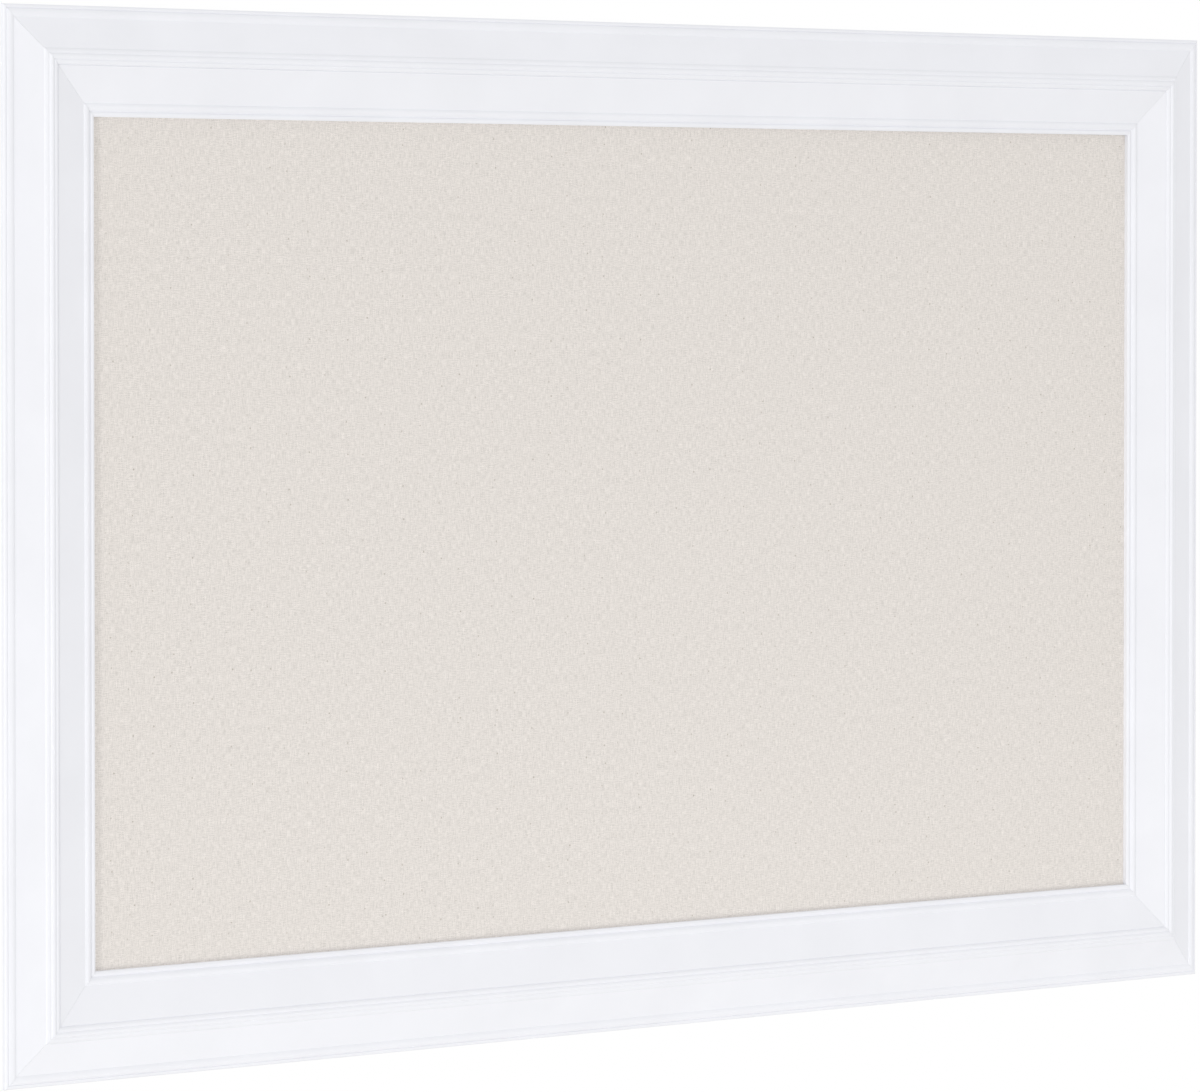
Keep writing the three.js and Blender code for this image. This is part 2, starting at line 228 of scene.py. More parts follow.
def add_piece(name, bm, material, body, stands_for):
    """Makes the mesh a piece that rides on a body and stands for its CAD nodes."""
    mesh = bpy.data.meshes.new(name)
    bm.to_mesh(mesh)
    bm.free()
    mesh.materials.append(material)
    piece = bpy.data.objects.new(name, mesh)
    bpy.context.scene.collection.objects.link(piece)
    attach(piece, body)
    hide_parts(*stands_for)
    return piece


def smooth_over(bm, sharpest):
    """Shades the faces smooth, and keeps the edges that turn more than so many degrees."""
    for face in bm.faces:
        face.smooth = True
    for edge in bm.edges:
        edge.smooth = edge.calc_face_angle(0) < math.radians(sharpest)


def cut_away(bm, cutters):
    """Cuts the cutters' shape out of the mesh, as a drill or a router does."""
    shapes = []
    for shape in (bm, cutters):
        mesh = bpy.data.meshes.new("shape")
        shape.to_mesh(mesh)
        shape.free()
        shapes.append(bpy.data.objects.new("shape", mesh))
        bpy.context.scene.collection.objects.link(shapes[-1])
    cut = shapes[0].modifiers.new("Cut", "BOOLEAN")
    cut.object = shapes[1]
    cut.solver = "EXACT"
    whole = shapes[0].evaluated_get(bpy.context.evaluated_depsgraph_get())
    carved = bmesh.new()
    carved.from_mesh(whole.to_mesh())
    for shape in shapes:
        mesh = shape.data
        bpy.data.objects.remove(shape)
        bpy.data.meshes.remove(mesh)
    return carved


def chop_rail(length):
    """A length of the moulding along X with both ends mitred, its outer edge at z = 0."""
    bm = bmesh.new()
    corners = [
        bm.verts.new((-length, rail_back - height, -inset)) for inset, height in moulding_outline()
    ]
    section = bm.faces.new(corners)
    grown = bmesh.ops.extrude_face_region(bm, geom=[section])
    far_end = [v for v in grown["geom"] if isinstance(v, bmesh.types.BMVert)]
    bmesh.ops.translate(bm, verts=far_end, vec=(2 * length, 0, 0))
    bmesh.ops.recalc_face_normals(bm, faces=bm.faces)
    arrises = [
        e
        for e in bm.edges
        if abs(e.verts[0].co.x - e.verts[1].co.x) > length
        and e.calc_face_angle(0) > math.radians(25)
        and e.verts[0].co.y < face_starts
    ]
    bmesh.ops.bevel(
        bm,
        geom=arrises,
        offset=arris_round,
        affect="EDGES",
        segments=2,
        profile=0.5,
        material=-1,
        clamp_overlap=True,
    )
    bmesh.ops.remove_doubles(bm, verts=bm.verts, dist=hair)
    for way in (-1, 1):
        cut = bmesh.ops.bisect_plane(
            bm,
            geom=bm.verts[:] + bm.edges[:] + bm.faces[:],
            plane_co=(way * (length / 2 - mitre_gap * math.sqrt(0.5)), 0, 0),
            plane_no=(way, 0, -1),
            clear_outer=True,
        )
        rim = [e for e in cut["geom_cut"] if isinstance(e, bmesh.types.BMEdge)]
        bmesh.ops.holes_fill(bm, edges=rim)
    bmesh.ops.recalc_face_normals(bm, faces=bm.faces)
    return bm


def side_of_board(angle):
    """Turns what is drawn for the top rail, with its outer edge at z = 0, to its own side."""
    place = Vector((board_width / 2 * math.sin(angle), 0, board_height / 2 * math.cos(angle)))
    return Matrix.Translation(place) @ Matrix.Rotation(angle, 4, "Y")


# Corner nails. V-shaped steel nails, two in each mitre, driven from the back and sunk just below
# the wood. Their slots are cut in the rails here, and the nails keep their CAD solids.
nail_wing = 5.7 * mm
nail_half_gauge = 0.5 * mm
nail_depth = 10.8 * mm
nail_spread = math.radians(60)
nail_shares = (0.3, 0.72)
slot_overrun = 1 * mm
rabbet_inset = rail_face - rabbet_width


def nail_slots():
    """The slots of all eight nails: each is a V whose wings flare out from the mitre."""
    bm = bmesh.new()
    along = Vector((math.sin(nail_spread), 0, math.cos(nail_spread)))
    across = Vector((along.z, 0, -along.x)) * nail_half_gauge
    tip = along * nail_wing
    waist = Vector((0, 0, nail_half_gauge / math.sin(nail_spread)))
    right_wing = [-waist, tip + across, tip - across, waist]
    left_wing = [Vector((-v.x, 0, v.z)) for v in reversed(right_wing[1:3])]
    for right, up in ((1, 1), (1, -1), (-1, -1), (-1, 1)):
        corner = Vector((right * board_width / 2, 0, up * board_height / 2))
        turned = Matrix.Translation(corner) @ Matrix.Rotation(math.atan2(right, up), 4, "Y")
        for share in nail_shares:
            inset = back_relief + (rabbet_inset - back_relief) * share
            middle = Vector((0, rail_back + slot_overrun, -inset * math.sqrt(2)))
            outline = [bm.verts.new(turned @ (middle + v)) for v in right_wing + left_wing]
            mouth = bm.faces.new(outline)
            grown = bmesh.ops.extrude_face_region(bm, geom=[mouth])
            deep = [v for v in grown["geom"] if isinstance(v, bmesh.types.BMVert)]
            bmesh.ops.translate(bm, verts=deep, vec=(0, -nail_depth - slot_overrun, 0))
    bmesh.ops.recalc_face_normals(bm, faces=bm.faces)
    return bm


rails = {
    "top": (board_width, 0),
    "right": (board_height, math.radians(90)),
    "bottom": (board_width, math.radians(180)),
    "left": (board_height, math.radians(-90)),
}
for side, (length, angle) in rails.items():
    turned = side_of_board(angle)
    bm = chop_rail(length)
    bmesh.ops.transform(bm, matrix=turned, verts=bm.verts)
    bm = cut_away(bm, nail_slots())
    bmesh.ops.transform(bm, matrix=turned.inverted(), verts=bm.verts)
    grain_run = bm.loops.layers.uv.new("grain_run")
    for face in bm.faces:
        for loop in face.loops:
            spot = loop.vert.co
            loop[grain_run].uv = (spot.x, -spot.z - spot.y)
        middle = face.calc_center_median()
        bare = middle.y > face_starts and -middle.z > paint_edge
        face.material_index = 1 if bare else 0
    smooth_over(bm, 50)
    bmesh.ops.transform(bm, matrix=turned, verts=bm.verts)
    rail = add_piece(
        f"moulding_{side}", bm, satin_paint, "board", [f"rail_{side}"]
    )
    rail.data.materials.append(bare_pine)
    flatness = rail.modifiers.new("Flatness", "WEIGHTED_NORMAL")
    flatness.keep_sharp = True

# Blued spring steel: dark blue-grey with the mottle of the tempering oven.
blued_steel, tree, shader = new_material("Blued_spring_steel", Metallic=1)
spot = add_node(tree, "TexCoord").outputs["Object"]
temper = add_node(tree, "TexNoise", {"Vector": spot, "Scale": 1 / (4 * mm), "Detail": 4})
fading = add_node(tree, "MapRange", {"Value": temper, "From Min": 0.35, "From Max": 0.65})
blued = add_node(
    tree, "Mix", {0: fading, 6: srgb("#6a6e76"), 7: srgb("#8d9198")}, data_type="RGBA"
)
dulling = add_node(tree, "MapRange", {"Value": temper, "To Min": 0.3, "To Max": 0.5})
tree.links.new(blued.outputs[2], shader.inputs["Base Color"])
tree.links.new(dulling.outputs[0], shader.inputs["Roughness"])
for name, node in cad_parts.items():
    if name.startswith("corner_nail"):
        node.data.materials.clear()
        node.data.materials.append(blued_steel)


# Linen cover. One piece of oatmeal linen drawn tight over the core. Its edges are turned in
# round the back, mitred at the corners, and held flat by the backing board.
panel_play = 3 * mm
panel_width = board_width - 2 * rabbet_inset - panel_play
panel_height = board_height - 2 * rabbet_inset - panel_play
cloth_thickness = 0.55 * mm
cover_depth = 7.4 * mm
fold_round = 1.2 * mm
turn_in = 30 * mm
linen_front = rail_back - rabbet_depth

# Plain-woven linen: matt oatmeal threads laid both ways, with slubs where the yarn thickens and a
# few brown flecks of flax stalk, and painted shade in the hollows of the weave. The real threads
# are too fine to show, so they are drawn a little coarse, and the slubs and flecks as wide as they
# need to be to show.
linen_cloth, tree, shader = new_material("Oatmeal_plain_weave_linen", Roughness=0.95, IOR=1.45)
shader.inputs["Specular IOR Level"].default_value = 0.2
shader.inputs["Sheen Weight"].default_value = 0.1
shader.inputs["Sheen Roughness"].default_value = 0.6
warp_pitch = 0.65 * mm
weft_pitch = 0.7 * mm
warp_slub = 0.75 * mm
weft_slub = 0.7 * mm
thread_wander = 1.6 * mm
fleck_spacing = 17 * mm
flat_cloth = add_node(tree, "TexCoord").outputs["UV"]
wander = add_node(tree, "TexNoise", {"Vector": flat_cloth, "Scale": 1 / (14 * mm), "Detail": 3})
drift = add_node(
    tree,
    "VectorMath",
    {0: wander.outputs["Color"], 1: (thread_wander, thread_wander, 0), 2: flat_cloth},
    operation="MULTIPLY_ADD",
)
threads = add_node(tree, "SeparateXYZ", {0: drift})
warp_turn = add_node(
    tree, "Math", {0: threads.outputs[0], 1: math.pi / warp_pitch}, operation="MULTIPLY"
)
weft_turn = add_node(
    tree, "Math", {0: threads.outputs[1], 1: math.pi / weft_pitch}, operation="MULTIPLY"
)
warp_wave = add_node(tree, "Math", {0: warp_turn}, operation="SINE")
weft_wave = add_node(tree, "Math", {0: weft_turn}, operation="SINE")
over_under = add_node(tree, "Math", {0: warp_wave, 1: weft_wave}, operation="MULTIPLY")
warp_round = add_node(tree, "Math", {0: warp_wave}, operation="ABSOLUTE")
weft_round = add_node(tree, "Math", {0: weft_wave}, operation="ABSOLUTE")
warp_top = add_node(tree, "Math", {0: warp_round, 1: over_under}, operation="ADD")
weft_top = add_node(tree, "Math", {0: weft_round, 1: over_under}, operation="SUBTRACT")
weave = add_node(tree, "Math", {0: warp_top, 1: weft_top}, operation="MAXIMUM")
warp_shows = add_node(tree, "Math", {0: warp_top, 1: weft_top}, operation="GREATER_THAN")
warp_stretch = add_node(tree, "Mapping", {"Vector": flat_cloth, "Scale": (1, 0.12, 1)})
weft_stretch = add_node(tree, "Mapping", {"Vector": flat_cloth, "Scale": (0.16, 1, 1)})
warp_tone = add_node(
    tree,
    "TexNoise",
    {"Vector": warp_stretch, "Scale": 1 / warp_slub, "Detail": 3, "Roughness": 0.6},
)
weft_tone = add_node(
    tree,
    "TexNoise",
    {"Vector": weft_stretch, "Scale": 1 / weft_slub, "Detail": 3, "Roughness": 0.6},
)
thread_tone = add_node(tree, "Mix", {0: warp_shows, 2: weft_tone, 3: warp_tone})
bleach = add_node(tree, "MapRange", {"Value": thread_tone, "From Min": 0.27, "From Max": 0.73})
linen_tone = add_node(
    tree, "Mix", {0: bleach, 6: srgb("#cbc6c0"), 7: srgb("#fff9f4")}, data_type="RGBA"
)
# Painted shade and highlight: the colour is darkened a little in the hollows of the weave and
# lightened a little on the thread tops.
painted_weave_shade = add_node(
    tree, "MapRange", {"Value": weave, "From Max": 2, "To Min": 0.95, "To Max": 1.02}
)
shaded = add_node(
    tree,
    "Mix",
    {0: 1, 6: linen_tone.outputs[2], 7: painted_weave_shade},
    data_type="RGBA",
    blend_type="MULTIPLY",
)
fleck_spots = add_node(
    tree, "TexVoronoi", {"Vector": drift, "Scale": 1 / fleck_spacing}, voronoi_dimensions="2D"
)
fleck_shape = add_node(
    tree,
    "MapRange",
    {"Value": fleck_spots, "From Min": 0.015, "From Max": 0.05, "To Min": 1, "To Max": 0},
)
fleck_chance = add_node(tree, "SeparateXYZ", {0: fleck_spots.outputs["Color"]})
fleck_depth = add_node(
    tree, "MapRange", {"Value": fleck_chance, "From Min": 0.4, "From Max": 1, "To Max": 0.6}
)
fleck_amount = add_node(tree, "Math", {0: fleck_shape, 1: fleck_depth}, operation="MULTIPLY")
flecked = add_node(
    tree, "Mix", {0: fleck_amount, 6: shaded.outputs[2], 7: srgb("#8f8069")}, data_type="RGBA"
)
cloth_height = add_node(tree, "Math", {0: thread_tone, 1: 1.5, 2: weave}, operation="MULTIPLY_ADD")
cloth_relief = add_node(
    tree, "Bump", {"Height": cloth_height, "Strength": 0.5, "Distance": 0.08 * mm}
)
tree.links.new(flecked.outputs[2], shader.inputs["Base Color"])
tree.links.new(cloth_relief.outputs[0], shader.inputs["Normal"])

bm = bmesh.new()
bmesh.ops.create_grid(bm, x_segments=48, y_segments=28, size=0.5)
front_width = panel_width - 2 * fold_round
front_height = panel_height - 2 * fold_round
bmesh.ops.scale(bm, vec=(front_width, front_height, 1), verts=bm.verts)
upright = Matrix.Rotation(math.radians(90), 3, "X")
bmesh.ops.rotate(bm, cent=(0, 0, 0), matrix=upright, verts=bm.verts)
bmesh.ops.translate(bm, vec=(0, linen_front, 0), verts=bm.verts)
flat_cut = bm.loops.layers.uv.new("flat_cut")
for face in bm.faces:
    for loop in face.loops:
        loop[flat_cut].uv = (loop.vert.co.x, loop.vert.co.z)

# Each fold is where the cloth has got to, outwards and backwards: round the front edge, over the
# side, round the back edge and in under the backing.
quarter = [math.radians(90 * i / 5) for i in range(6)]
folds = [(fold_round * math.sin(t), fold_round * (1 - math.cos(t))) for t in quarter[1:]]
folds += [
    (fold_round * math.cos(t), cover_depth - fold_round * (1 - math.sin(t))) for t in quarter
]
folds += [(fold_round - turn_in, cover_depth)]
reach, depth, cut_width = 0, 0, 0
for next_reach, next_depth in folds:
    rim = [e for e in bm.edges if e.is_boundary]
    grown = bmesh.ops.extrude_edge_only(bm, edges=rim)["geom"]
    cloth_run = math.hypot(next_reach - reach, next_depth - depth)
    moved = [v for v in grown if isinstance(v, bmesh.types.BMVert)]
    half_x = front_width / 2 + reach
    half_z = front_height / 2 + reach
    for v in moved:
        if abs(v.co.x) > half_x - hair:
            v.co.x = math.copysign(front_width / 2 + next_reach, v.co.x)
        if abs(v.co.z) > half_z - hair:
            v.co.z = math.copysign(front_height / 2 + next_reach, v.co.z)
        v.co.y = linen_front + next_depth
    for face in (f for f in grown if isinstance(f, bmesh.types.BMFace)):
        middle = face.calc_center_median()
        on_long_side = half_z - abs(middle.z) < half_x - abs(middle.x)
        for loop in face.loops:
            spot = loop.vert.co
            travel = cut_width + (cloth_run if loop.vert in moved else 0)
            if on_long_side:
                loop[flat_cut].uv = (spot.x, math.copysign(front_height / 2 + travel, middle.z))
            else:
                loop[flat_cut].uv = (math.copysign(front_width / 2 + travel, middle.x), spot.z)
    reach, depth = next_reach, next_depth
    cut_width += cloth_run
bmesh.ops.recalc_face_normals(bm, faces=bm.faces)
front_face = min(bm.faces, key=lambda f: f.calc_center_median().length)
if front_face.normal.y > 0:
    bmesh.ops.reverse_faces(bm, faces=bm.faces)
smooth_over(bm, 60)
linen = add_piece("linen_sheet", bm, linen_cloth, "board", ["linen_cover"])
body_of_cloth = linen.modifiers.new("Thickness", "SOLIDIFY")
body_of_cloth.thickness = cloth_thickness
body_of_cloth.offset = -1


# Pinning core. Soft, coarse fibreboard that takes the pins, wholly hidden inside the linen. Its
# CAD solid stays.

# Pressed wood pulp, not dressed in any way: buff, pitted and quite without gloss.
fibreboard, tree, shader = new_material("Soft_fibreboard", Roughness=0.95)
spot = add_node(tree, "TexCoord").outputs["Object"]
pulp = add_node(tree, "TexNoise", {"Vector": spot, "Scale": 1 / (2.5 * mm), "Detail": 6})
pulp_share = add_node(tree, "MapRange", {"Value": pulp, "From Min": 0.3, "From Max": 0.7})
pulp_tone = add_node(
    tree, "Mix", {0: pulp_share, 6: srgb("#9a8058"), 7: srgb("#c9b48f")}, data_type="RGBA"
)
pitting = add_node(tree, "Bump", {"Height": pulp, "Strength": 0.6, "Distance": 0.3 * mm})
tree.links.new(pulp_tone.outputs[2], shader.inputs["Base Color"])
tree.links.new(pitting.outputs[0], shader.inputs["Normal"])
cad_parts["pin_core"].data.materials.clear()
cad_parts["pin_core"].data.materials.append(fibreboard)


# Backing board. A sheet of brown hardboard, smooth side out, sawn to fit the rabbet and laid
# over the turned-in linen. The saw leaves its corners and edges a little soft.
board_thickness = 2.5 * mm
board_recess = 2.2 * mm
board_back = rail_back - board_recess
sawn_corner = 2 * mm
sawn_edge = 0.25 * mm

# Wet-pressed hardboard: dark brown with paler fibres in it, smooth, with an uneven dull gloss.
hardboard, tree, shader = new_material("Hardboard", IOR=1.5)
spot = add_node(tree, "TexCoord").outputs["Object"]
fibre = add_node(tree, "TexNoise", {"Vector": spot, "Scale": 1 / (1.4 * mm), "Detail": 5})
blotch = add_node(tree, "TexNoise", {"Vector": spot, "Scale": 1 / (25 * mm), "Detail": 2})
mottle = add_node(tree, "Math", {0: fibre, 1: 0.85}, operation="MULTIPLY")
mottle = add_node(tree, "Math", {0: blotch, 1: 0.15, 2: mottle}, operation="MULTIPLY_ADD")
browning = add_node(tree, "MapRange", {"Value": mottle, "From Min": 0.35, "From Max": 0.65})
brown = add_node(
    tree, "Mix", {0: browning, 6: srgb("#6f4e33"), 7: srgb("#977450")}, data_type="RGBA"
)
pressed_gloss = add_node(tree, "MapRange", {"Value": mottle, "To Min": 0.42, "To Max": 0.62})
board_skin = add_node(tree, "Bump", {"Height": fibre, "Strength": 0.2, "Distance": 0.05 * mm})
tree.links.new(brown.outputs[2], shader.inputs["Base Color"])
tree.links.new(pressed_gloss.outputs[0], shader.inputs["Roughness"])
tree.links.new(board_skin.outputs[0], shader.inputs["Normal"])
bm = bmesh.new()
bmesh.ops.create_cube(bm, size=1)
bmesh.ops.scale(bm, vec=(panel_width, board_thickness, panel_height), verts=bm.verts)
bmesh.ops.translate(bm, vec=(0, board_back - board_thickness / 2, 0), verts=bm.verts)
corners = [e for e in bm.edges if abs(e.verts[0].co.y - e.verts[1].co.y) > board_thickness / 2]
bmesh.ops.bevel(
    bm, geom=corners, offset=sawn_corner, affect="EDGES", segments=4, profile=0.5, material=-1
)
face_edges = [e for e in bm.edges if e.calc_face_angle(0) > math.radians(60)]
bmesh.ops.bevel(
    bm, geom=face_edges, offset=sawn_edge, affect="EDGES", segments=2, profile=0.5, material=-1
)
smooth_over(bm, 40)
backing = add_piece("hardboard_back", bm, hardboard, "board", ["backing_board"])
backing.modifiers.new("Flatness", "WEIGHTED_NORMAL").keep_sharp = True


# Framer's points. Thin steel tongues shot from the back into the wall of the rabbet, five along
# each long rail and three along each short one. They bend up by hand to free the panel.
point_width = 6 * mm
point_length = 15 * mm
point_tip = 4 * mm
point_tail_round = 1.6 * mm
point_bite = 5.5 * mm
point_gauge = 0.5 * mm
sheared_edge = 0.08 * mm
long_rail_points = 5
short_rail_points = 3
for side, (length, angle) in rails.items():
    count = long_rail_points if length == board_width else short_rail_points
    opening = length - 2 * rabbet_inset
    for i in range(count):
        bm = bmesh.new()
        tail = point_bite - point_length
        shoulder = point_bite - point_tip
        half = point_width / 2
        tail_end = [bm.verts.new((x, 0, tail)) for x in (-half, half)]
        tip = ((half, shoulder), (0, point_bite), (-half, shoulder))
        bm.faces.new(tail_end + [bm.verts.new((x, 0, z)) for x, z in tip])
        bmesh.ops.bevel(
            bm,
            geom=tail_end,
            offset=point_tail_round,
            affect="VERTICES",
            segments=5,
            profile=0.5,
            material=-1,
        )
        grown = bmesh.ops.extrude_face_region(bm, geom=bm.faces[:])
        lifted = [v for v in grown["geom"] if isinstance(v, bmesh.types.BMVert)]
        bmesh.ops.translate(bm, verts=lifted, vec=(0, point_gauge, 0))
        bmesh.ops.recalc_face_normals(bm, faces=bm.faces)
        sheared_edges = [e for e in bm.edges if e.calc_face_angle(0) > math.radians(80)]
        bmesh.ops.bevel(
            bm,
            geom=sheared_edges,
            offset=sheared_edge,
            affect="EDGES",
            segments=2,
            profile=0.5,
            material=-1,
        )
        smooth_over(bm, 40)
        spot = Vector((opening * ((i + 0.5) / count - 0.5), board_back, -rabbet_inset))
        turned = side_of_board(angle) @ Matrix.Translation(spot)
        bmesh.ops.transform(bm, matrix=turned, verts=bm.verts)
        add_piece(
            f"steel_point_{side}_{i + 1}",
            bm,
            blued_steel,
            "board",
            [f"framers_point_{side}_{i + 1}"],
        )


# Strap hangers. A zinc-plated steel strap folded in two round the bar of a D-ring, and screwed
# through both layers into the rail. Two hang the board across and two hang it upright.
strap_width = 13 * mm
strap_sheet = 0.78 * mm
strap_length = 31 * mm
strap_height = 1.6 * mm
strap_end_round = 4 * mm
loop_outer = 2.15 * mm
loop_bend = loop_outer - strap_sheet / 2
screw_places = (8.5 * mm, 24 * mm)
hole_radius = 1.8 * mm
punched_edge = 0.1 * mm
hanger_line = 39.6 * mm
landscape_drop = 190 * mm
portrait_drop = 290 * mm

# Bright zinc plate: pale silver with a faint bluish cast and a soft rolled grain.
zinc_plate, tree, shader = new_material("Bright_zinc_plate", Metallic=1)
spot = add_node(tree, "TexCoord").outputs["Object"]
spangle = add_node(tree, "TexNoise", {"Vector": spot, "Scale": 1 / (3 * mm), "Detail": 4})
rolled = add_node(tree, "Mapping", {"Vector": spot, "Scale": (1, 1, 0.08)})
rolling = add_node(tree, "TexNoise", {"Vector": rolled, "Scale": 1 / (0.3 * mm), "Detail": 2})
frosting = add_node(tree, "MapRange", {"Value": spangle, "From Min": 0.35, "From Max": 0.65})
silver = add_node(
    tree, "Mix", {0: frosting, 6: srgb("#bcbfc4"), 7: srgb("#d5d7db")}, data_type="RGBA"
)
cloud = add_node(tree, "MapRange", {"Value": spangle, "To Min": 0.22, "To Max": 0.4})
scratches = add_node(tree, "Bump", {"Height": rolling, "Strength": 0.15, "Distance": 0.02 * mm})
tree.links.new(silver.outputs[2], shader.inputs["Base Color"])
tree.links.new(cloud.outputs[0], shader.inputs["Roughness"])
tree.links.new(scratches.outputs[0], shader.inputs["Normal"])


def punched_leaf(bm, start, height):
    """One flat layer of the strap, from its start to its rounded end, with two screw holes."""
    half = strap_width / 2
    outline = ((start, -half), (strap_length, -half), (strap_length, half), (start, half))
    leaf = bm.faces.new([bm.verts.new((x, height, z)) for x, z in outline])
    end_corners = [v for v in leaf.verts if v.co.x > start + mm]
    bmesh.ops.bevel(
        bm,
        geom=end_corners,
        offset=strap_end_round,
        affect="VERTICES",
        segments=8,
        profile=0.5,
        material=-1,
    )
    leaf = next(f for f in bm.faces if abs(f.calc_center_median().y - height) < hair)
    rim = leaf.edges[:]
    bmesh.ops.delete(bm, geom=[leaf], context="FACES_ONLY")
    lying_flat = Matrix.Rotation(math.radians(90), 4, "X")
    for place in screw_places:
        middle = Matrix.Translation((place, height, 0))
        made = bmesh.ops.create_circle(
            bm, segments=24, radius=hole_radius, matrix=middle @ lying_flat
        )
        rim += {e for v in made["verts"] for e in v.link_edges}
    bmesh.ops.triangle_fill(bm, edges=rim, use_beauty=True)


def folded_strap():
    """The strap's middle surface along X: lower layer, loop round the bar, upper layer.

    The loop turns 225 degrees and comes back to the upper layer down a slope of 45.
    """
    bm = bmesh.new()
    lower = strap_sheet / 2
    upper = strap_height - strap_sheet / 2
    corner = loop_bend * math.sqrt(0.5)
    meet = corner + (loop_outer + corner - upper)
    punched_leaf(bm, 0, lower)
    punched_leaf(bm, meet, upper)
    bend_line = [
        e for e in bm.edges if all(abs(v.co.x) < hair for v in e.verts) and e.is_boundary
    ]
    spun = bmesh.ops.spin(
        bm,
        geom=bend_line + list({v for e in bend_line for v in e.verts}),
        cent=(0, loop_outer, 0),
        axis=(0, 0, 1),
        angle=math.radians(-225),
        steps=24,
    )
    last = [e for e in spun["geom_last"] if isinstance(e, bmesh.types.BMEdge)]
    grown = bmesh.ops.extrude_edge_only(bm, edges=last)["geom"]
    for v in (g for g in grown if isinstance(g, bmesh.types.BMVert)):
        v.co.x, v.co.y = meet, upper
    bmesh.ops.remove_doubles(bm, verts=bm.verts, dist=hair)
    bmesh.ops.recalc_face_normals(bm, faces=bm.faces)
    return bm


out_to_side = board_width / 2 - hanger_line
up_to_top = board_height / 2 - hanger_line
landscape_up = board_height / 2 - landscape_drop
portrait_out = board_width / 2 - portrait_drop
hangers = {
    "left": (-out_to_side, landscape_up, math.radians(90)),
    "right": (out_to_side, landscape_up, math.radians(90)),
    "top": (-portrait_out, up_to_top, 0),
    "bottom": (-portrait_out, -up_to_top, 0),
}
for side, (x, z, angle) in hangers.items():
    turned = Matrix.Translation((x, rail_back, z)) @ Matrix.Rotation(angle, 4, "Y")
    bm = folded_strap()
    bmesh.ops.transform(bm, matrix=turned, verts=bm.verts)
    smooth_over(bm, 40)
    strap = add_piece(
        f"folded_strap_{side}", bm, zinc_plate, "board", [f"hanger_strap_{side}"]
    )
    sheet = strap.modifiers.new("Sheet", "SOLIDIFY")
    sheet.thickness = strap_sheet
    sheet.offset = 0
    sheet.use_even_offset = True
    punched_edges = strap.modifiers.new("Punched_edges", "BEVEL")
    punched_edges.width = punched_edge
    punched_edges.segments = 2
    punched_edges.limit_method = "ANGLE"
    punched_edges.angle_limit = math.radians(50)


# D-rings. Round steel wire bent from a butt joint, which lies in the strap's loop, and zinc
# plated like the strap. Each swings on its straight bar.
ring_wire = 2.2 * mm
ring_half = 10 * mm
ring_corner = 2.5 * mm
ring_straight = 5 * mm
butt_gap = 0.4 * mm
steps_in_quarter = 20
up_the_bar = ring_half - ring_corner - butt_gap / 2

# The wire's run from the upper side of the butt joint: how far straight, which way, and how many
# degrees it then bends round which centre.
bends = (
    (up_the_bar, (0, 0, 1), 90, (-ring_corner, ring_half - ring_corner)),
    (ring_straight - ring_corner, (-1, 0, 0), 180, (-ring_straight, 0)),
    (ring_straight - ring_corner, (1, 0, 0), 90, (-ring_corner, ring_corner - ring_half)),
    (up_the_bar, (0, 0, 1), 0, None),
)
for side, (x, z, angle) in hangers.items():
    bm = bmesh.new()
    bmesh.ops.create_circle(
        bm,
        segments=20,
        radius=ring_wire / 2,
        matrix=Matrix.Translation((0, loop_outer, butt_gap / 2)),
    )
    wire_end = bm.edges[:]
    for straight, heading, bend, centre in bends:
        grown = bmesh.ops.extrude_edge_only(bm, edges=wire_end)["geom"]
        moved = [v for v in grown if isinstance(v, bmesh.types.BMVert)]
        bmesh.ops.translate(bm, verts=moved, vec=Vector(heading) * straight)
        wire_end = [e for e in grown if isinstance(e, bmesh.types.BMEdge) and e.is_boundary]
        if bend:
            spun = bmesh.ops.spin(
                bm,
                geom=moved + wire_end,
                cent=(centre[0], loop_outer, centre[1]),
                axis=(0, 1, 0),
                angle=math.radians(-bend),
                steps=steps_in_quarter * bend // 90,
            )
            wire_end = [e for e in spun["geom_last"] if isinstance(e, bmesh.types.BMEdge)]
    bmesh.ops.remove_doubles(bm, verts=bm.verts, dist=hair)
    bmesh.ops.holes_fill(bm, edges=[e for e in bm.edges if e.is_boundary])
    bmesh.ops.recalc_face_normals(bm, faces=bm.faces)
    smooth_over(bm, 60)
    turned = Matrix.Translation((x, rail_back, z)) @ Matrix.Rotation(angle, 4, "Y")
    bmesh.ops.transform(bm, matrix=turned, verts=bm.verts)
    add_piece(
        f"wire_ring_{side}", bm, zinc_plate, f"ring_{side}", [f"d_ring_{side}"]
    )


# Hanger screws. Pan-head wood screws with a rolled thread and a cross recess, zinc plated, two
# through each strap. Their outline is given as radius and height over the strap in millimetres.
screw_sides = 32
pan_head = ((0, 2.1), (1.2, 2.07), (2.1, 1.93), (2.75, 1.65), (3.2, 1.2), (3.43, 0.7), (3.5, 0.2))
head_underside = ((3.45, 0.02), (3.3, 0), (1.5, 0))
shank_end = (1.5, -2.6)
crest_radius = 1.5
root_radius = 1.12
first_crest = -3.3
thread_pitch = 1.2
half_crest = 0.35
thread_turns = 6
screw_tip = ((0.9, -10.6), (0, -12))
recess_arm = 1.65 * mm
recess_half = 0.42 * mm
recess_mouth = 2.4 * mm
recess_depth = 1.7 * mm
recess_taper = 0.4

# How far round, in degrees, the driver left the two screws of a strap.
driven_to = (17, 48)


